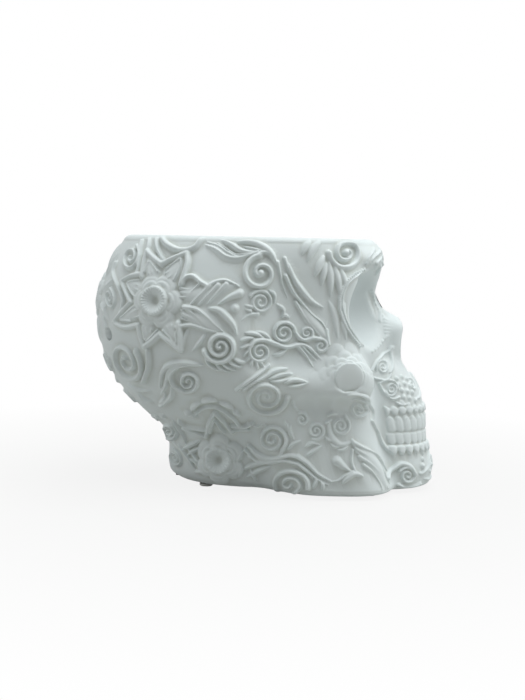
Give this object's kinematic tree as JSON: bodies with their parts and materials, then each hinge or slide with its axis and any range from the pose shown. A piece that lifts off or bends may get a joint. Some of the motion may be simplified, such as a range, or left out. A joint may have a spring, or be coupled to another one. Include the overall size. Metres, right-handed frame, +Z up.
{
  "type": "sugar skull wax warmer",
  "caption": "Hollow white bisque skull with raised scrolls and flowers, an open flat crown that carries a lift-out wax dish, and a lampholder and bulb inside that warm it.",
  "frame": {"origin": "middle of the box round the object, at the surface it stands on", "axes": "+X the way the face looks, along the longest side; +Z up"},
  "size_m": [0.1672, 0.1118, 0.121],
  "materials": {
    "bisque": "unglazed matt white porcelain",
    "glaze": "clear gloss glaze",
    "pad": "soft white",
    "rubber": "matt black",
    "steel": "zinc plated",
    "nylon": "natural white",
    "phenolic": "moulded black",
    "brass": "bright",
    "cap_metal": "bright",
    "glass": "clear",
    "tungsten": "dull grey wire"
  },
  "bodies": {
    "skull": {"skull_shell_lower_face_left": "bisque", "skull_shell_lower_face_right": "bisque", "skull_shell_lower_back_left": "bisque", "skull_shell_lower_back_right": "bisque", "skull_shell_upper_face_left": "bisque", "skull_shell_upper_face_right": "bisque", "skull_shell_upper_back_left": "bisque", "skull_shell_upper_back_right": "bisque", "skull_shell_base": "bisque", "foot_pad_front_left": "pad", "foot_pad_front_right": "pad", "foot_pad_rear_left": "pad", "foot_pad_rear_right": "pad", "cord_inlet_grommet": "rubber", "lower_rubber_washer": "rubber", "upper_rubber_washer": "rubber", "threaded_nipple": "steel", "steel_washer": "steel", "lock_nut": "steel", "cord_bush": "nylon", "holder_cap": "phenolic", "holder_body": "phenolic", "screw_sleeve": "brass", "terminal_screw_live": "brass", "terminal_screw_neutral": "brass", "centre_contact": "brass"},
    "dish": {"wax_dish": "glaze"},
    "bulb": {"bulb_tip": "cap_metal", "bulb_insulator": "phenolic", "bulb_cap": "cap_metal", "bulb_glass": "glass", "bulb_stem": "glass", "bulb_filament": "tungsten"}
  },
  "joints": [
    {"name": "dish_lift", "type": "slide", "parent": "skull", "child": "dish", "axis": [0, 0, 1], "range_m": [0, 0.06]},
    {"name": "bulb_turn", "type": "hinge", "parent": "skull", "child": "bulb", "pos_m": [-0.006, 0, 0.045], "axis": [0, 0, 1], "range_deg": [0, 1080]}
  ]
}
